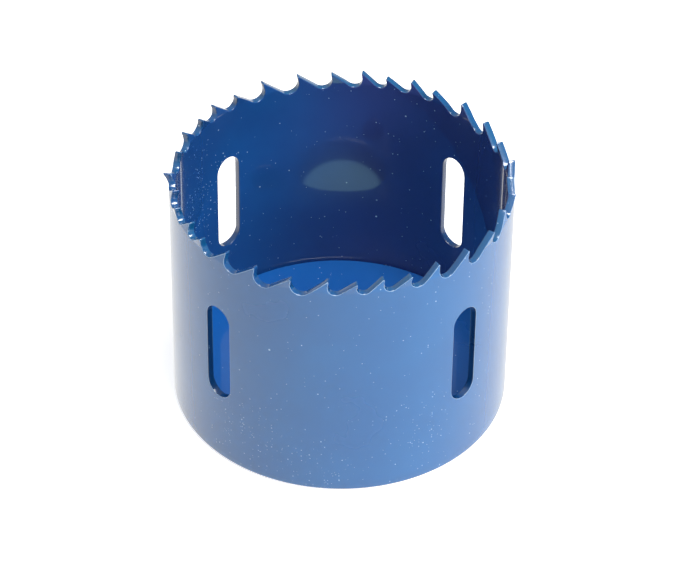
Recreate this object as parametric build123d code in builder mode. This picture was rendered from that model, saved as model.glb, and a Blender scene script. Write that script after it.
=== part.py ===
from build123d import *

import os
from itertools import cycle
from math import asin, atan2, cos, degrees, hypot, isclose, pi, radians, sin, tan

# A 57 mm hole saw: a toothed strip rolled and welded into a cup, with a threaded base plate.
#
# The cup stands on its closed end with the teeth up. Millimetres, +Z up. The origin is on the
# cup's axis, in the plane that its bottom edge and the base plate's underside stand on.

# Cup: the rolled strip
cup_diameter = 57.0
wall_thickness = 1.2
overall_height = 44.5  # from the resting edge to the tooth tips
bottom_edge_radius = 0.6
weld_angle = 140.6  # where the two ends of the strip meet, counter-clockwise from +X

# Slots that clear chips and let the cut plug be prised out
slot_count = 4
slot_width = 5.2
slot_length = 19.0
slot_centre_height = 23.0
first_slot_angle = 0.0

# Teeth: one milled group, repeated along the strip in the direction that the teeth point
tooth_pitches = (4.65, 4.45, 4.5, 5.35, 6.0, 6.4, 6.0)  # each to the next tip, at the outer face
tooth_sets = (-1, 1, -1, 1, -1, 0.06, 1)  # bent inwards, outwards, or left all but straight
set_amount = 0.36  # how far a set tip stands out of line with the wall
weld_tooth_set = 0.9  # the last tooth, sprung outwards beside the weld
weld_lead = 2.4  # along the strip from the weld to the first tip
rake_angle = 10.0
tip_land = 0.15  # the flat that the enamel leaves on a tip
gullet_depth_per_pitch = 0.49
gullet_radius_per_pitch = 0.27
bend_share = 0.9  # the bend line's depth, as a share of the shallowest gullet's
band_break = 0.3  # between two teeth of the bent band, over the floor of their gullet

# Base plate: the disc welded into the closed end, its underside flush with the cup's edge
plate_thickness = 3.9
plate_edge_chamfer = 0.5
thread_minor_diameter = 14.35  # 5/8 in, 18 threads to the inch
thread_chamfer = 0.5
pin_hole_diameter = 6.6
pin_hole_chamfer = 0.3
pin_circle_diameter = 25.4
pin_hole_count = 2
first_pin_angle = 0.0

# How far a cut runs past the surfaces that it goes through
cut_margin = 1.0

outer_radius = cup_diameter / 2
inner_radius = outer_radius - wall_thickness
strip_length = pi * cup_diameter
bend_height = overall_height - bend_share * gullet_depth_per_pitch * min(tooth_pitches)


def tooth_places():
    """Where the tips lie along the strip: groups run on for as long as a whole tooth fits."""
    places = [0.0]
    for pitch in cycle(tooth_pitches):
        if places[-1] + pitch > strip_length - min(tooth_pitches):
            return places
        places.append(places[-1] + pitch)


def strip_angle(place):
    """The angle about the axis of a place along the strip, counted from its first tip."""
    return weld_angle + degrees((weld_lead + place) / outer_radius)


def radial_plane(angle):
    """The upright plane through the axis at this angle: x runs outwards and y is up."""
    turn = radians(angle)
    return Plane(origin=(0, 0, 0), x_dir=(cos(turn), sin(turn), 0), z_dir=(sin(turn), -cos(turn), 0))


def wall_plane(angle, radius):
    """The plane that touches a cylinder of this radius: x runs counter-clockwise, y is up."""
    turn = radians(angle)
    outward = Vector(cos(turn), sin(turn), 0)
    return Plane(origin=outward * radius, x_dir=(-sin(turn), cos(turn), 0), z_dir=outward)


def gullet_centre(pitch):
    """The centre of a gullet's round floor, from the tip before it: along the strip, and up."""
    depth = gullet_depth_per_pitch * pitch
    radius = gullet_radius_per_pitch * pitch
    rake = radians(rake_angle)
    return radius / cos(rake) - (depth - radius) * tan(rake), radius - depth


def draw_gullet(pitch, width_scale):
    """Draw the space between two tips: a rake face, the round floor and the next tooth's back."""
    radius = gullet_radius_per_pitch * pitch
    rake = radians(rake_angle)
    left = -pitch / 2 * width_scale
    right = (pitch / 2 - tip_land) * width_scale
    along, up = gullet_centre(pitch)
    centre_x = left + along
    centre_z = overall_height + up
    reach = hypot(right - centre_x, up)
    back = atan2(-up, right - centre_x) + asin(radius / reach)
    face_end = (centre_x - radius * cos(rake), centre_z + radius * sin(rake))
    floor = (centre_x, centre_z - radius)
    back_start = (centre_x + radius * sin(back), centre_z - radius * cos(back))
    face_tip = (left, overall_height)
    back_tip = (right, overall_height)
    top = overall_height + cut_margin
    Line(face_tip, face_end)
    ThreePointArc(face_end, floor, back_start)
    Polyline(back_start, back_tip, (right, top), (left, top), face_tip)


places = tooth_places()
gaps = [after - before for before, after in zip(places, places[1:] + [strip_length])]
tooth_count = len(places)

with BuildPart() as saw_cup:
    # The wall, up to the line at which the teeth are bent
    with BuildSketch(Plane.XZ) as wall_section:
        with Locations((inner_radius, 0)):
            Rectangle(wall_thickness, bend_height, align=(Align.MIN, Align.MIN))
        fillet(
            wall_section.vertices().group_by(Axis.Y)[0].sort_by(Axis.X)[-1],
            radius=bottom_edge_radius,
        )
    revolve(axis=Axis.Z)

    # The toothed band: a leaning sector for each tooth, from one gullet floor to the next
    floors = [place + gullet_centre(gap)[0] for place, gap in zip(places, gaps)]
    sectors = []
    for number in range(tooth_count):
        lean = set_amount * tooth_sets[number % len(tooth_sets)]
        if number == tooth_count - 1:
            lean = weld_tooth_set
        start = floors[number - 1] + band_break - (strip_length if number == 0 else 0)
        with BuildPart(mode=Mode.PRIVATE) as sector:
            with BuildSketch(radial_plane(strip_angle(start))):
                with BuildLine():
                    Polyline(
                        (inner_radius, bend_height),
                        (outer_radius, bend_height),
                        (outer_radius + lean, overall_height),
                        (inner_radius + lean, overall_height),
                        close=True,
                    )
                make_face()
            revolve(axis=Axis.Z, revolution_arc=degrees((floors[number] - start) / outer_radius))
        sectors.append(sector.part)
    add(sectors)

    # The gullets, cut square through the rolled wall
    outside = outer_radius + max(set_amount, weld_tooth_set) + cut_margin
    inside = inner_radius - set_amount - cut_margin
    gullets = []
    for place, gap in zip(places, gaps):
        middle = strip_angle(place + gap / 2)
        with BuildPart(mode=Mode.PRIVATE) as gullet:
            for radius in (inside, outside):
                with BuildSketch(wall_plane(middle, radius)):
                    with BuildLine():
                        draw_gullet(gap, radius / outer_radius)
                    make_face()
            loft(ruled=True)
        gullets.append(gullet.part)
    add(gullets, mode=Mode.SUBTRACT)

    # The slots
    for number in range(slot_count):
        angle = first_slot_angle + number * 360 / slot_count
        with BuildSketch(wall_plane(angle, outer_radius + cut_margin)):
            with Locations((0, slot_centre_height)):
                SlotOverall(slot_length, slot_width, rotation=90)
        extrude(amount=-(wall_thickness + 2 * cut_margin), mode=Mode.SUBTRACT)

with BuildPart() as base_plate:
    with BuildSketch():
        Circle(inner_radius)
        Circle(thread_minor_diameter / 2, mode=Mode.SUBTRACT)
        with PolarLocations(pin_circle_diameter / 2, pin_hole_count, start_angle=first_pin_angle):
            Circle(pin_hole_diameter / 2, mode=Mode.SUBTRACT)
    extrude(amount=plate_thickness)
    def mouths(radius):
        """The plate's round edges of this radius, on both faces."""
        rounds = base_plate.edges().filter_by(GeomType.CIRCLE)
        return rounds.filter_by(lambda edge: isclose(edge.radius, radius, abs_tol=1e-6))

    chamfer(mouths(inner_radius), length=plate_edge_chamfer)
    chamfer(mouths(thread_minor_diameter / 2), length=thread_chamfer)
    chamfer(mouths(pin_hole_diameter / 2), length=pin_hole_chamfer)

saw_cup.part.label = "saw_cup"
base_plate.part.label = "base_plate"

os.makedirs("parts", exist_ok=True)
export_step(saw_cup.part, "parts/saw_cup.step")
export_step(base_plate.part, "parts/base_plate.step")
print(f"{tooth_count} teeth, the last gap {gaps[-1]:.2f} mm")
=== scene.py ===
# %% [markdown]
# # A hole saw, dressed
#
# The saw is a steel strip with teeth milled into one edge, rolled into a cup and welded to a
# thick base plate. Everything is then dipped in a glossy blue enamel. The solids give the true
# sizes. Their sharp edges could be rounded with a bevel, but among teeth and slots a bevel
# soon crosses itself. So the same two pieces are modelled again, with the rounded edges that
# enamel leaves, the real thread in the arbor hole, and the finish.

import math
from itertools import cycle

import bmesh
import bpy
from mathutils import Matrix, Vector


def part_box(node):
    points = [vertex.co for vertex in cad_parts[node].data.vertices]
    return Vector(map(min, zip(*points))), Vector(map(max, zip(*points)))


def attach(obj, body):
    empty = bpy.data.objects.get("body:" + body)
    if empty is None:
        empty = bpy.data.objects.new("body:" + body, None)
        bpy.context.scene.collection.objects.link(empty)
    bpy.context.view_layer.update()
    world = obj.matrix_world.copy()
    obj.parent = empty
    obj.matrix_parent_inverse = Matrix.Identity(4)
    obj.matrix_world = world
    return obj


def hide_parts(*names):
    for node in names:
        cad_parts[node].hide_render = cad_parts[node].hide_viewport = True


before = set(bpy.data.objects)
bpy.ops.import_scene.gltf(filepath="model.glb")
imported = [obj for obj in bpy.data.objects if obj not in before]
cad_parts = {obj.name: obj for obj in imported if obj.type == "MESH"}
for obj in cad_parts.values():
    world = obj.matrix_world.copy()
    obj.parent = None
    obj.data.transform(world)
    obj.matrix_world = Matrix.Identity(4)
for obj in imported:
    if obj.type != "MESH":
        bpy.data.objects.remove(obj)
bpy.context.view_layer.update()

# %% [markdown]
# ## Sizes
#
# Meshes are shaped in millimetres, which suit a part of this size, and are scaled to metres
# when they are finished. Heights and radii are read from the solids' boxes, and not typed in
# again, so that both models stay the same size.

# %% Sizes of cup and plate
MM = 0.001  # metres in a millimetre

cup_low, cup_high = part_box("saw_cup")
plate_low, plate_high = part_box("base_plate")

height = cup_high.z / MM
plate_thickness = plate_high.z / MM
inner_radius = plate_high.x / MM
wall = 1.2
outer_radius = inner_radius + wall
strip_length = 2 * math.pi * outer_radius
weld_angle = 140.6

print(f"cup {2 * outer_radius:.1f} mm across and {height:.1f} mm high")

# %% [markdown]
# ## Flat outlines
#
# The maker mills the teeth into flat strip and rolls it up afterwards. The teeth could be cut
# into a finished ring, but every gullet would then need its own direction. So the strip is
# drawn flat here too: x runs along it and y up it. An outline is only straight runs and arcs,
# and one helper that steps round an arc is enough.

# %% Arcs
def arc(centre, radius, start, end, steps):
    """Points round an arc, both ends included. Angles are in degrees, and may run either way."""
    turns = [math.radians(start + (end - start) * i / steps) for i in range(steps + 1)]
    return [(centre[0] + radius * math.cos(t), centre[1] + radius * math.sin(t)) for t in turns]


print(f"a quarter circle in 4 steps has {len(arc((0, 0), 1, 0, 90, 4))} points")

# %% [markdown]
# ## Teeth
#
# The pitch changes from tooth to tooth, in groups of seven, so that the saw doesn't hum at one
# pitch. Each gullet is a rake face that leans back by ten degrees, a round floor, and the
# sloping back of the next tooth. The enamel rounds the tip, so the tip is a small arc too. The
# back could be placed by eye, but the one straight line that touches both arcs leaves no kink.

# %% Sizes of the teeth
pitches = (4.65, 4.45, 4.5, 5.35, 6.0, 6.4, 6.0)
weld_lead = 2.4  # from the weld to the first tip
rake = math.radians(10)
gullet_depth_share = 0.49  # of the pitch
gullet_radius_share = 0.27

tip_round = 0.18
tip_steps = 6
back_steps = 4
face_steps = 9
rake_turn = math.degrees(rake)
print(f"{len(pitches)} pitches, {sum(pitches):.2f} mm together")


# %% Where the teeth stand
def tooth_places():
    """Where the tips lie along the strip, counted from the first one."""
    places = [0.0]
    for pitch in cycle(pitches):
        if places[-1] + pitch > strip_length - min(pitches):
            return places
        places.append(places[-1] + pitch)


places = tooth_places()
gaps = [after - before for before, after in zip(places, places[1:] + [strip_length])]
tooth_count = len(places)
print(f"{tooth_count} teeth, the last gap {gaps[-1]:.2f} mm")


# %% The outline of a tooth
def gullet_floor(tip, gap):
    """The centre and radius of the floor of the gullet between this tip and the next one."""
    depth = gullet_depth_share * gap
    radius = gullet_radius_share * gap
    along = radius / math.cos(rake) - (depth - radius) * math.tan(rake)
    return (tip + along, height - depth + radius), radius


def tip_centre(tip):
    """The centre of the tip's arc, which touches the tip line and the rake face."""
    down_face = tip_round * (1 + math.sin(rake)) / math.cos(rake)
    return tip - down_face * math.sin(rake) - tip_round * math.cos(rake), height - tip_round


def tooth_outline(tip, gap_before, gap_after):
    """From the lowest point of the gullet before a tooth to that of the gullet after it."""
    floor, radius = gullet_floor(tip - gap_before, gap_before)
    crest = tip_centre(tip)
    slope = math.atan2(crest[1] - floor[1], crest[0] - floor[0])
    back = math.degrees(slope + math.asin((radius + tip_round) / math.dist(floor, crest)))
    next_floor, next_radius = gullet_floor(tip, gap_after)
    return (
        arc(floor, radius, 270, 270 + back, back_steps)
        + arc(crest, tip_round, 90 + back, -rake_turn, tip_steps)
        + arc(next_floor, next_radius, 180 - rake_turn, 270, face_steps)
    )


print(f"{len(tooth_outline(0, pitches[-1], pitches[0]))} points to a tooth")

# %% [markdown]
# ## The strip in simple faces
#
# Four slots clear the chips and let the cut plug be prised out. They could be holes in one
# large face, but that needs a filler, which easily leaves slivers. So every face is simple. A
# shelf line runs along under the gullets. Above it there is one face for each tooth. Below it
# the strip is parted at the middle of each slot, so a slot is two half outlines. Neighbours
# share all their points, and no gap is left between them.

# %% Half a slot
slot_width = 5.2
slot_length = 19.0
slot_height = 23.0
slot_count = 4
slot_steps = 8
slot_places = sorted(
    (math.radians(number * 360 / slot_count - weld_angle) % (2 * math.pi)) * outer_radius
    for number in range(slot_count)
)
print("slots along the strip:", [round(place, 1) for place in slot_places])


def slot_side(centre_x, start):
    """Half a slot's outline, counterclockwise from 90 or 270 degrees."""
    radius = slot_width / 2
    reach = (slot_length - slot_width) / 2
    turn = 1 if start == 90 else -1
    first = arc((centre_x, slot_height + turn * reach), radius, start, start + 90, slot_steps)
    last = arc((centre_x, slot_height - turn * reach), radius, start + 90, start + 180, slot_steps)
    return first + last


# %% Faces of the flat strip
shelf = height - 4.0


def strip_faces(spare):
    """Faces for the whole strip, with some spare at both ends that carries the pattern on."""
    teeth = []
    for turn in (-1, 0, 1):
        for place, before, after in zip(places, gaps[-1:] + gaps, gaps):
            tip = weld_lead + place + turn * strip_length
            if -spare < tip < strip_length + spare:
                teeth.append(tooth_outline(tip, before, after))

    left_end = teeth[0][0][0]
    right_end = teeth[-1][-1][0]
    stations = sorted([left_end] + [tooth[-1][0] for tooth in teeth] + slot_places)

    def shelf_line(left, right):
        near = 0.001
        return [(x, shelf) for x in stations if left - near < x < right + near]

    faces = [shelf_line(tooth[0][0], tooth[-1][0]) + tooth[::-1] for tooth in teeth]
    partings = [left_end] + slot_places + [right_end]
    for left, right in zip(partings, partings[1:]):
        slot_on_left = [] if left == left_end else slot_side(left, 270)[::-1]
        slot_on_right = [] if right == right_end else slot_side(right, 90)[::-1]
        foot = [(left, 0), (right, 0)]
        faces.append(shelf_line(left, right)[::-1] + slot_on_left + foot + slot_on_right)
    return faces


flat_faces = strip_faces(spare=9.0)
print(f"{len(flat_faces)} flat faces")

# %% [markdown]
# ## From flat faces to a solid sheet
#
# The faces are extruded through the thickness. Enamel turns every edge into a small quarter
# round. A bevel would find those edges by their angle and miss the shallow corners. So front
# and back are inset in a few steps instead, and every step also lifts them, which follows a
# quarter circle. A last narrow level inset keeps the round's smooth shading off the flat
# middle.

# %% Rounding a rim
rim_steps = 3
level_inset = 0.15  # as a share of the rim's size


def rim_insets(size):
    """How far in and how far up each step of a rim goes, round a quarter circle."""
    turns = [math.pi / 2 * i / rim_steps for i in range(rim_steps + 1)]
    insets = [
        (size * (math.cos(before) - math.cos(after)), size * (math.sin(after) - math.sin(before)))
        for before, after in zip(turns, turns[1:])
    ]
    return insets + [(size * level_inset, 0)]


def rounded_rim(bm, faces, size):
    """Inset a set of faces along a quarter circle."""
    for thickness, depth in rim_insets(size):
        bmesh.ops.inset_region(
            bm,
            faces=faces,
            use_boundary=True,
            use_even_offset=True,
            thickness=thickness,
            depth=depth,
        )


print("insets of a 1 mm rim:", [(round(go_in, 2), round(up, 2)) for go_in, up in rim_insets(1)])

# %% The sheet maker
same_point = 0.0002  # corners of flat faces that are nearer than this are one


def sheet_solid(outlines, thickness, rim_size):
    """A closed sheet from z = 0 down to -thickness, with every rim rounded."""
    bm = bmesh.new()
    for points in outlines:
        bm.faces.new([bm.verts.new((x, y, -rim_size)) for x, y in points])
    bmesh.ops.remove_doubles(bm, verts=bm.verts, dist=same_point)
    front = bm.faces[:]
    made = bmesh.ops.extrude_face_region(bm, geom=front, use_keep_orig=True)["geom"]
    back = [item for item in made if isinstance(item, bmesh.types.BMFace)]
    back_verts = [item for item in made if isinstance(item, bmesh.types.BMVert)]
    bmesh.ops.translate(bm, verts=back_verts, vec=(0, 0, 2 * rim_size - thickness))
    bmesh.ops.recalc_face_normals(bm, faces=bm.faces)
    rounded_rim(bm, front, rim_size)
    rounded_rim(bm, back, rim_size)
    return bm


# %% Cutting and finishing
on_plane = 0.0005  # points that are nearer to a cut than this lie on it


def cut(bm, at, normal, clear_outer=False, clear_inner=False):
    """Cut everything along a plane, and perhaps throw one side away."""
    bmesh.ops.bisect_plane(
        bm,
        geom=bm.verts[:] + bm.edges[:] + bm.faces[:],
        dist=on_plane,
        plane_co=at,
        plane_no=normal,
        clear_outer=clear_outer,
        clear_inner=clear_inner,
    )


def finish_mesh(bm, name, material):
    """Scale to metres, shade smooth and make the object."""
    bmesh.ops.scale(bm, vec=(MM, MM, MM), verts=bm.verts)
    mesh = bpy.data.meshes.new(name)
    bm.to_mesh(mesh)
    bm.free()
    mesh.polygons.foreach_set("use_smooth", [True] * len(mesh.polygons))
    mesh.materials.append(material)
    piece = bpy.data.objects.new(name, mesh)
    bpy.context.scene.collection.objects.link(piece)
    print(f"{name}: {len(mesh.polygons)} faces")
    return piece


# %% [markdown]
# ## Shader maths in plain Python
#
# A finish is a tree of nodes. It could be built node by node and link by link, but it is
# easier to read as a formula. One small class wraps a socket, and each operator on it adds the
# Math node that it stands for. Another one holds the tree.

# %% A socket that can be added and multiplied
class Value:
    """A node's output. Expressions on it add Math nodes to the same tree."""

    def __init__(self, tree, socket):
        self.tree = tree
        self.socket = socket

    def math(self, operation, *others):
        node = self.tree.add("ShaderNodeMath", {"operation": operation})
        for slot, item in zip(node.inputs, (self, *others)):
            self.tree.connect(item, slot)
        return Value(self.tree, node.outputs[0])

    def __add__(self, other):
        return self.math("ADD", other)

    def __radd__(self, other):
        return self + other

    def __mul__(self, other):
        return self.math("MULTIPLY", other)

    def __rmul__(self, other):
        return self * other

    def __sub__(self, other):
        return self.math("SUBTRACT", other)

    def __rsub__(self, other):
        return (self * -1) + other

    def above(self, level, width):
        """0 under the level and 1 over it, with a soft step of this width."""
        ramp = self.tree.node(
            "ShaderNodeMapRange",
            {"interpolation_type": "SMOOTHSTEP"},
            {"Value": self, "From Min": level - width / 2, "From Max": level + width / 2},
        )
        return ramp("Result")

    def below(self, level, width):
        """1 under the level and 0 over it, with a soft step of this width."""
        return 1 - self.above(level, width)


# %% A tree of nodes
class Tree:
    """The nodes of one material or world."""

    def __init__(self, owner):
        owner.use_nodes = True
        self.nodes = owner.node_tree.nodes
        self.links = owner.node_tree.links
        self.nodes.clear()

    def add(self, kind, settings):
        node = self.nodes.new(kind)
        for key, value in settings.items():
            setattr(node, key, value)
        return node

    def connect(self, item, slot):
        if isinstance(item, Value):
            self.links.new(item.socket, slot)
        else:
            slot.default_value = item

    def node(self, kind, settings=None, inputs=None):
        """Add a node. The result gives each output by its name."""
        node = self.add(kind, settings or {})
        for key, item in (inputs or {}).items():
            self.connect(item, node.inputs[key])
        return lambda output: Value(self, node.outputs[output])


# %% [markdown]
# ## Blue enamel
#
# The saw is dipped, so one glossy blue coat covers steel, slots, teeth and plate alike. Its
# colour drifts with its depth, and it is bright on the outer skin. Inside the cup it is painted
# darker and redder, as painted shade and a painted haze of reflection, and towards the right of
# the view, where the inner wall faces away from the key lamp, it turns violet as painted shade.
# The walls of the slots are painted darkest, as painted shade. On the rounded rims the coat is
# thin, and their pale colour is a painted highlight. A painted image could carry all this, but
# noise and distances need no unwrapping and stay sharp from nearby. A rough pigment layer lies
# under a clear hard gloss.

# %% Colours
# Each pair is the colour where the coat is thin, and where it is thick
outer_blue = ((0.004, 0.132, 0.382, 1), (0.003, 0.115, 0.350, 1))
# Darker and redder inside the cup: painted shade, and a painted haze of reflection
shaded_inner_blue = ((0.009, 0.076, 0.262, 1), (0.009, 0.060, 0.222, 1))
# Violet for the inner wall's right side, which faces away from the key lamp: painted shade
shaded_violet_blue = ((0.032, 0.055, 0.215, 1), (0.030, 0.045, 0.182, 1))
plate_blue = ((0.006, 0.112, 0.420, 1), (0.005, 0.098, 0.385, 1))
tooth_blue = ((0.005, 0.094, 0.235, 1), (0.004, 0.064, 0.225, 1))
# Darkest on the walls of the slots: painted shade
shaded_slot_blue = ((0.003, 0.050, 0.170, 1), (0.003, 0.040, 0.150, 1))
# Pale on the rounded rims: a painted highlight over the thinner coat there
painted_highlight_colour = (0.32, 0.47, 0.65, 1)
dust_colour = (0.45, 0.68, 0.88, 1)


def mixed(tree, factor, one, two):
    """A colour between two others."""
    inputs = {"Factor": factor, 6: one, 7: two}
    return tree.node("ShaderNodeMix", {"data_type": "RGBA"}, inputs)(2)


print("outer colour where the coat is thin:", outer_blue[0][:3])

# %% [markdown]
# ## Dust
#
# Fine white dust sits on the gloss, thickest in a few patches where the saw has been handled,
# with single specks everywhere. Specks could be small meshes, but they are flat and many. So a
# random pattern of cells holds them: some cells have one, each of its own size and strength.

# %% Dust
# Angle about the axis in degrees, height in mm and reach in mm of each dusty patch
dusty_patches = ((194, 9, 10), (252, 10, 9), (110, 30, 15), (215, 4, 9))
# Cells to a metre, size in cell widths, share of cells with a speck, and what a patch adds to it
fine_specks = (2600.0, 0.20, 0.03, 0.32)
coarse_specks = (900.0, 0.12, 0.015, 0.12)


def on_wall(angle, level):
    """A point on the outer wall, in metres."""
    turn = math.radians(angle)
    return Vector((outer_radius * math.cos(turn), outer_radius * math.sin(turn), level)) * MM


def speck_layer(tree, place, dusty, per_metre, size, share, dusty_share):
    """Specks in some cells of a random pattern, and in more of them where it is dusty."""
    cells = tree.node("ShaderNodeTexVoronoi", {}, {"Vector": place, "Scale": per_metre})
    chance = tree.node("ShaderNodeSeparateColor", {}, {"Color": cells("Color")})
    near = cells("Distance").below(size * (0.5 + chance("Green")), size * 0.5)
    chosen = chance("Red").math("LESS_THAN", share + dusty_share * dusty)
    return near * chosen * (0.3 + 0.7 * chance("Blue"))


def dusty_places(tree, place):
    """1 in the middle of a dusty patch, and 0 well away from them all."""
    dusty = None
    for angle, level, reach in dusty_patches:
        away = tree.node(
            "ShaderNodeVectorMath", {"operation": "DISTANCE"}, {0: place, 1: on_wall(angle, level)}
        )
        patch = away("Value").below(reach * MM * 0.6, reach * MM * 1.2)
        dusty = patch if dusty is None else dusty.math("MAXIMUM", patch)
    return dusty


print(f"{len(dusty_patches)} dusty patches")

# %% The coat's colour
# The inner wall turns violet towards the right of the view: painted shade away from the key lamp
painted_shade_way = (0.70, -0.71, 0)  # towards the side where the inner wall turns violet
painted_shade_middle = -4  # how far that way from the axis it is half violet
painted_shade_blend = 24  # the width of the change
foot_height = 3
above_slots = 36
painted_highlight_cover = 0.9  # how much of the blue a rim's pale colour covers


def coat_colour(tree, place, thick, outer, inner, shaded_violet_inner, tooth_edge, slot_edge):
    """The enamel's blue at every place, with painted shade and highlights, before the dust."""

    def blue(pair):
        return mixed(tree, thick, *pair)

    # Inside or outside, by the distance from the axis
    flat = tree.node("ShaderNodeVectorMath", {"operation": "MULTIPLY"}, {0: place, 1: (1, 1, 0)})
    from_axis = tree.node("ShaderNodeVectorMath", {"operation": "LENGTH"}, {0: flat("Vector")})
    outside = from_axis("Value").above((outer_radius - wall / 2) * MM, 0.0002)
    # Towards the right of the view the inner wall is painted violet, as painted shade
    across = tree.node(
        "ShaderNodeVectorMath", {"operation": "DOT_PRODUCT"}, {0: place, 1: painted_shade_way}
    )
    painted_shade_side = across("Value").above(painted_shade_middle * MM, painted_shade_blend * MM)
    inside_blue = mixed(tree, painted_shade_side, blue(inner), blue(shaded_violet_inner))
    base = mixed(tree, outside, inside_blue, blue(outer))

    # Rims and the faces across the wall, by how little they face outwards or inwards
    facing = tree.node("ShaderNodeTexCoord")("Normal")
    outward = tree.node("ShaderNodeVectorMath", {"operation": "NORMALIZE"}, {0: flat("Vector")})
    lean = tree.node(
        "ShaderNodeVectorMath", {"operation": "DOT_PRODUCT"}, {0: facing, 1: outward("Vector")}
    )
    straight = lean("Value").math("ABSOLUTE")
    level = tree.node("ShaderNodeSeparateXYZ", {}, {"Vector": place})("Z")
    not_foot = level.above(foot_height * MM, 0.001)
    in_slot = level.below(above_slots * MM, 0.001)
    # A pale painted highlight on the outer rims, where the coat is thin
    rim = straight.below(0.9, 0.15) * outside * not_foot
    across_wall = straight.below(0.6, 0.4) * not_foot
    base = mixed(tree, rim * painted_highlight_cover, base, painted_highlight_colour)
    # Across the wall: a thinner coat on the teeth above the slots, painted shade on the slot walls
    edge_blue = mixed(tree, in_slot, blue(tooth_edge), blue(slot_edge))
    return mixed(tree, across_wall, base, edge_blue)


print(f"blue turns to violet over {painted_shade_blend} mm of the inner wall")


# %% The enamel
def enamel(name, *blues):
    """Glossy enamel: thickness drift, painted shade and highlights, dust, faint orange peel."""
    material = bpy.data.materials.new(name)
    tree = Tree(material)
    place = tree.node("ShaderNodeTexCoord")("Object")
    drift = tree.node("ShaderNodeTexNoise", {}, {"Vector": place, "Scale": 70.0, "Detail": 3.0})
    thick = drift("Fac").above(0.5, 0.5)
    coat = coat_colour(tree, place, thick, *blues)

    dusty = dusty_places(tree, place)
    fine = speck_layer(tree, place, dusty, *fine_specks)
    coarse = speck_layer(tree, place, dusty, *coarse_specks)
    dust = fine.math("MAXIMUM", coarse)

    peel = tree.node("ShaderNodeTexNoise", {}, {"Vector": place, "Scale": 400.0, "Detail": 1.0})
    bump = tree.node(
        "ShaderNodeBump", {}, {"Strength": 0.05, "Distance": 0.00002, "Height": peel("Fac")}
    )
    shader = tree.node(
        "ShaderNodeBsdfPrincipled",
        {},
        {
            "Base Color": mixed(tree, dust * 0.9, coat, dust_colour),
            "Roughness": 0.22 + 0.08 * drift("Fac"),
            "IOR": 1.5,
            "Specular IOR Level": 0.6,
            "Coat Weight": 1 - 0.7 * dust,
            "Coat Roughness": 0.04,
            "Coat IOR": 1.6,
            "Normal": bump("Normal"),
            "Coat Normal": bump("Normal"),
        },
    )
    tree.node("ShaderNodeOutputMaterial", {}, {"Surface": shader("BSDF")})
    print(f"{name}: {len(tree.nodes)} nodes")
    return material


cup_enamel = enamel("cup_enamel", outer_blue, shaded_inner_blue, shaded_violet_blue, tooth_blue, shaded_slot_blue)
plate_enamel = enamel("plate_enamel", *[plate_blue] * 5)

# %% [markdown]
# ## The rolled cup
#
# A bend needs points to bend at, so the flat strip is cut into narrow columns, and across
# where its shape changes. Both ends are cut at the same point of the pattern, so they match.
# Each tooth then leans in or out above its bend line, as it is set in the real saw, to cut a
# slot wider than the wall. The bottom edge gets its larger round, and the sheet is rolled
# about the axis. A Simple Deform modifier could roll it too, but a formula per point also
# bends the teeth and closes the seam exactly.

# %% Cut the sheet into columns
column = 0.55
bottom_round = 0.6
bend_share = 0.9
bend_line = height - bend_share * (gullet_depth_share * min(pitches))

strip = sheet_solid(flat_faces, wall, rim_size=0.14)
columns = round(strip_length / column)
cut(strip, (0, 0, 0), (1, 0, 0), clear_inner=True)
cut(strip, (strip_length, 0, 0), (1, 0, 0), clear_outer=True)
for number in range(1, columns):
    cut(strip, (number * strip_length / columns, 0, 0), (1, 0, 0))

# Rows of points round the foot, beside the ends of the slots and over the bend line
slot_bottom = slot_height - slot_length / 2
slot_top = slot_height + slot_length / 2
levels = [bottom_round * share for share in (0.04, 0.12, 0.25, 0.45, 0.7, 1.0)]
levels += [2.0, slot_bottom - 0.5, slot_bottom + 0.3, slot_top - 0.3, slot_top + 0.5]
levels += [bend_line - 0.2, bend_line, bend_line + 0.3, bend_line + 0.8]
for level in levels:
    cut(strip, (0, level, 0), (0, 1, 0))
print(f"flat strip: {len(strip.faces)} faces")

# %% Lean of the teeth
sets = (-1, 1, -1, 1, -1, 0, 1)  # bent inwards, outwards or left straight
set_amount = 0.36
weld_tooth_set = 0.9  # for the last tooth, sprung outwards beside the weld
floors = [gullet_floor(weld_lead + place, gap)[0][0] for place, gap in zip(places, gaps)]


def tooth_lean(along):
    """How far the tip of the tooth at this place stands out of line."""
    number = sum(1 for floor in floors if floor < along) % tooth_count
    if number == tooth_count - 1:
        return weld_tooth_set
    return set_amount * sets[number % len(sets)]


print("lean of the first tooth:", tooth_lean(weld_lead))

# %% Bend the teeth and roll the strip
seam_gap = 0.002  # points of the two ends that are nearer than this are one

for vert in strip.verts:
    along, level, depth = vert.co
    if level < bottom_round:
        short = bottom_round - max(level, 0)
        drop = bottom_round - math.sqrt(bottom_round**2 - short**2)
        depth = min(depth, -drop)
    radius = outer_radius + depth
    if level > bend_line:
        radius += tooth_lean(along) * (level - bend_line) / (height - bend_line)
    turn = math.radians(weld_angle) + along / outer_radius
    vert.co = (radius * math.cos(turn), radius * math.sin(turn), level)

bmesh.ops.remove_doubles(strip, verts=strip.verts, dist=seam_gap)
bmesh.ops.recalc_face_normals(strip, faces=strip.faces)
open_edges = sum(1 for edge in strip.edges if not edge.is_manifold)
print(f"open edges in the rolled cup: {open_edges}")

toothed_cup = finish_mesh(strip, "toothed_cup", cup_enamel)
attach(toothed_cup, "root")
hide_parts("saw_cup")

# %% [markdown]
# ## The base plate
#
# A thick disc, set into the closed end and welded. The arbor screws into its middle, and the
# arbor's pins drive it through the holes beside that. The disc comes from the same sheet
# maker, parted along the line through its holes, so it needs no filler either. Its outer rim
# has a flat chamfer, which is larger than the enamel's round.

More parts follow.
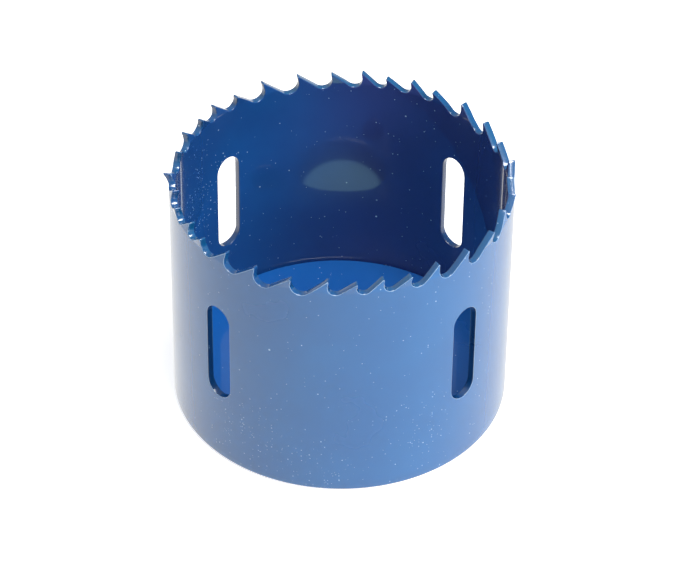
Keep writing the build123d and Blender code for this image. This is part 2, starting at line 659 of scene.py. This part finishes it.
# %% The disc
pin_radius = 3.3
pin_circle = 25.4 / 2
pin_count = 2
pin_hole_steps = 24
thread_major = 7.94  # a radius
thread_hole_steps = 48
disc_steps = 96
hole_rim = 0.3

turns = [math.radians(number * 360 / pin_count) for number in range(pin_count)]
holes = [(pin_circle * math.cos(turn), pin_radius, pin_hole_steps) for turn in turns]
holes = sorted(holes + [(0.0, thread_major, thread_hole_steps)])
upper_half = arc((0, 0), inner_radius, 0, 180, disc_steps)
lower_half = arc((0, 0), inner_radius, 180, 360, disc_steps)
for x, radius, steps in holes:
    upper_half += arc((x, 0), radius, 180, 0, steps)
for x, radius, steps in reversed(holes):
    lower_half += arc((x, 0), radius, 0, -180, steps)
disc = sheet_solid([upper_half, lower_half], plate_thickness, hole_rim)
bmesh.ops.translate(disc, verts=disc.verts, vec=(0, 0, plate_thickness))
print(f"disc: {len(disc.faces)} faces")

# %% The disc's outer chamfer
plate_chamfer = 0.5


def chamfered(inward, level):
    """Move a point of the disc's round rim, given from its corner, onto a larger chamfer."""
    if inward > hole_rim:
        return inward + plate_chamfer - hole_rim, 0
    share = math.atan2(hole_rim - level, hole_rim - inward) / (math.pi / 2)
    return plate_chamfer * share, plate_chamfer * (1 - share)


for vert in disc.verts:
    radius = math.hypot(vert.co.x, vert.co.y)
    inward = inner_radius - radius
    if inward > 2 * plate_chamfer:
        continue
    lower = vert.co.z < plate_thickness / 2
    inward, level = chamfered(inward, vert.co.z if lower else plate_thickness - vert.co.z)
    vert.co.x *= (inner_radius - inward) / radius
    vert.co.y *= (inner_radius - inward) / radius
    vert.co.z = level if lower else plate_thickness - level
print(f"disc: {max(vert.co.z for vert in disc.verts):.2f} mm thick")

# %% [markdown]
# ## The thread
#
# The arbor hole has a 5/8 in thread, 18 to the inch. A texture could fake its lines, but
# through the slots it is seen from close by, so it is a real ridge on the wall of the hole.
# Its section is spun about the axis and climbs by one pitch a turn. Both mouths of the hole
# cut it away at a slant, as a countersink does.

# %% One ridge
thread_minor = 7.175  # a radius too
thread_pitch = 25.4 / 18
thread_chamfer = 0.5
thread_steps = 72


def thread_ridge():
    """One helical ridge from face to face, as a closed mesh."""
    bm = bmesh.new()
    root = thread_major + 0.15  # sunk into the wall of the hole
    half_root = thread_pitch * 0.45
    half_crest = thread_pitch / 8
    section = [
        (root, -half_root),
        (thread_minor, -half_crest),
        (thread_minor, half_crest),
        (root, half_root),
    ]
    ring = [bm.verts.new((r, 0, z - thread_pitch)) for r, z in section]
    profile = [bm.edges.new(pair) for pair in zip(ring, ring[1:] + ring[:1])]
    turns = plate_thickness / thread_pitch + 2
    steps = round(turns * thread_steps)
    bmesh.ops.spin(
        bm,
        geom=ring + profile,
        cent=(0, 0, 0),
        axis=(0, 0, 1),
        dvec=(0, 0, thread_pitch / thread_steps),
        angle=2 * math.pi * steps / thread_steps,
        steps=steps,
        use_merge=False,
    )
    skin = 0.03  # left clear of both faces of the plate
    cut(bm, (0, 0, plate_thickness - skin), (0, 0, 1), clear_outer=True)
    cut(bm, (0, 0, skin), (0, 0, 1), clear_inner=True)
    bmesh.ops.holes_fill(bm, edges=bm.edges, sides=0)
    for vert in bm.verts:
        face_away = min(vert.co.z, plate_thickness - vert.co.z)
        radius = math.hypot(vert.co.x, vert.co.y)
        least = thread_minor + max(0, thread_chamfer - face_away)
        if radius < least:
            vert.co.x *= least / radius
            vert.co.y *= least / radius
    bmesh.ops.recalc_face_normals(bm, faces=bm.faces)
    return bm


ridge = thread_ridge()
print(f"thread: {len(ridge.faces)} faces")

# %% Join the ridge to the disc
ridge_mesh = bpy.data.meshes.new("ridge")
ridge.to_mesh(ridge_mesh)
ridge.free()
disc.from_mesh(ridge_mesh)
bpy.data.meshes.remove(ridge_mesh)

threaded_plate = finish_mesh(disc, "threaded_plate", plate_enamel)
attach(threaded_plate, "root")
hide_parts("base_plate")

# %% [markdown]
# ## Floor
#
# The saw stands on a white table that runs on without an edge. More light would whiten it, but
# would bleach the saw too. So a little glow is added to what the camera sees of the table, and
# only the shadow at the foot of the saw is left. The enamel mirrors the table as plain white,
# apart from what lies under the cup. There the table is painted dark, as painted shade, both in
# its matt colour and in what the enamel mirrors, and a small blue spot of painted light is left
# under the arbor hole for the light that falls through it, blue from the enamel.

# %% The table's finish
painted_spot_radius = 6.4  # of the spot that shows through the arbor hole
covered_radius = outer_radius - 3  # of the table that lies under the cup
table_lift = 0.75  # the glow that is added for the rays that look at it


def ray_is(tree, *kinds):
    """1 for rays of these kinds and 0 for the rest."""
    path = tree.node("ShaderNodeLightPath")
    found = path(f"Is {kinds[0]} Ray")
    for kind in kinds[1:]:
        found = found.math("MAXIMUM", path(f"Is {kind} Ray"))
    return found


def table_material():
    """Matt white raised to plain white for the rays that look at it; painted shade under the cup.
    """
    material = bpy.data.materials.new("white_table")
    tree = Tree(material)
    place = tree.node("ShaderNodeTexCoord")("Object")
    away = tree.node("ShaderNodeVectorMath", {"operation": "LENGTH"}, {0: place})("Value")
    # Painted shade: the table under the cup is painted dark, in its matt colour and in the mirror
    painted_shade_under_cup = away.below(covered_radius * MM, 0.002)
    painted_shadow = away.above(painted_spot_radius * MM, 0.0016)
    matt_colour = mixed(tree, painted_shade_under_cup, (0.8, 0.8, 0.8, 1), (0.1, 0.1, 0.1, 1))
    matt = tree.node("ShaderNodeBsdfDiffuse", {}, {"Color": matt_colour})
    glow = table_lift * ray_is(tree, "Camera", "Transmission")
    lift = tree.node("ShaderNodeEmission", {}, {"Strength": glow})
    lit = tree.node("ShaderNodeAddShader", {}, {0: matt("BSDF"), 1: lift("Emission")})
    # A blue spot of painted light under the arbor hole, and painted shadow round it
    under = mixed(tree, painted_shadow, (0.45, 0.90, 1.00, 1), (0.02, 0.04, 0.06, 1))
    mirrored_colour = mixed(tree, painted_shade_under_cup, (1, 1, 1, 1), under)
    mirrored = tree.node("ShaderNodeEmission", {}, {"Color": mirrored_colour})
    inputs = {"Fac": ray_is(tree, "Glossy"), 1: lit("Shader"), 2: mirrored("Emission")}
    surface = tree.node("ShaderNodeMixShader", {}, inputs)
    tree.node("ShaderNodeOutputMaterial", {}, {"Surface": surface("Shader")})
    print(f"white_table: {len(tree.nodes)} nodes")
    return material


# %% The table
table_reach = 3000
table_drop = 0.05  # so that the saw's underside doesn't lie in the table's plane

table_bm = bmesh.new()
bmesh.ops.create_grid(table_bm, x_segments=1, y_segments=1, size=table_reach)
bmesh.ops.translate(table_bm, verts=table_bm.verts, vec=(0, 0, -table_drop))
table = finish_mesh(table_bm, "table", table_material())

# %% [markdown]
# ## Light
#
# One soft lamp overhead fills the cup. A second from the right and the front gives the wall
# its brighter side, and a weak one from the left keeps the other side from going dull. Sharper
# lamps would draw hard spots in the gloss, so all are large, and only the one overhead is
# mirrored at all. The sky is plain white to the camera. Mirrored in the enamel it is bright
# near the horizon and dim above, and dimmest on the right, as a room's ceiling is.

# %% Which way the camera looks
view_heading = math.radians(44.3)
view_ahead = Vector((math.cos(view_heading), math.sin(view_heading), 0))
view_right = Vector((math.sin(view_heading), -math.cos(view_heading), 0))
upright = Vector((0, 0, 1))
print("ahead:", view_ahead, "right:", view_right)

# %% The sky
sky_glow = 0.14  # the light that it really gives
ceiling_dimming = 0.82
ceiling_edge = 0.10  # the rise at which it is half dimmed, where 1 is straight up
less_on_the_left = 0.30

world = bpy.data.worlds.new("studio")
bpy.context.scene.world = world
sky = Tree(world)
toward = sky.node("ShaderNodeTexCoord")("Generated")
rise = sky.node("ShaderNodeSeparateXYZ", {}, {"Vector": toward})("Z").above(ceiling_edge, 0.20)
leftward = sky.node(
    "ShaderNodeVectorMath", {"operation": "DOT_PRODUCT"}, {0: toward, 1: -view_right}
)
dim = rise * (ceiling_dimming - less_on_the_left * leftward("Value").above(0.1, 0.8))
seen = (1 - sky_glow) * ray_is(sky, "Camera", "Transmission")
mirrored = (1 - sky_glow - dim) * ray_is(sky, "Glossy")
white = (1, 1, 1, 1)
sky_light = sky.node(
    "ShaderNodeBackground", {}, {"Color": white, "Strength": sky_glow + seen + mirrored}
)
sky.node("ShaderNodeOutputWorld", {}, {"Surface": sky_light("Background")})
print(f"sky: {len(sky.nodes)} nodes")

# %% The lamps
lamp_distance = 0.6
saw_middle = Vector((0, 0, 0.02))


def soft_lamp(name, toward, size, watts, mirrored=False):
    """A square lamp that looks at the saw. Its way is given as right, nearer and up."""
    way = toward[0] * view_right - toward[1] * view_ahead + toward[2] * upright
    lamp = bpy.data.lights.new(name, "AREA")
    lamp.size = size
    lamp.energy = watts
    holder = bpy.data.objects.new(name, lamp)
    holder.location = saw_middle + lamp_distance * way.normalized()
    holder.rotation_euler = (-way).to_track_quat("-Z", "Y").to_euler()
    holder.visible_glossy = mirrored
    bpy.context.scene.collection.objects.link(holder)
    print(f"{name}: {watts} W")


soft_lamp("top_lamp", (0.14, 0.14, 1), 0.28, 3.5, mirrored=True)
soft_lamp("key_lamp", (0.65, 0.42, 0.46), 0.30, 3.2)
soft_lamp("fill_lamp", (-0.80, 0.45, 0.12), 0.30, 0.5)

# %% [markdown]
# ## Camera
#
# The saw is seen from well above the rim, so that the cup shows its inner wall and its base. A
# short lens nearby would splay the cup, so it is a long one from half a metre away.

# %% The camera
view_elevation = math.radians(39.82)
view_roll = math.radians(0.771)
view_distance = 570.0
focal_pixels = 3385.7
image_width = 690
aim_height = 21.5
aim_shift = 0.705  # to the right of the axis
aim = Vector((0, 0, aim_height)) + aim_shift * view_right

look = math.cos(view_elevation) * view_ahead - math.sin(view_elevation) * upright
lift = math.sin(view_elevation) * view_ahead + math.cos(view_elevation) * upright
right = math.cos(view_roll) * view_right + math.sin(view_roll) * lift
up = -math.sin(view_roll) * view_right + math.cos(view_roll) * lift

camera = bpy.data.objects.new("camera", bpy.data.cameras.new("camera"))
camera.data.sensor_width = 36
camera.data.lens = focal_pixels * camera.data.sensor_width / image_width
camera.data.clip_start = 0.01
axes = Matrix((right, up, -look)).transposed().to_4x4()
camera.matrix_world = Matrix.Translation((aim - look * view_distance) * MM) @ axes
bpy.context.scene.collection.objects.link(camera)
bpy.context.scene.camera = camera
bpy.context.scene.view_settings.view_transform = "Standard"
print(f"camera: {camera.data.lens:.0f} mm lens, {view_distance:.0f} mm away")
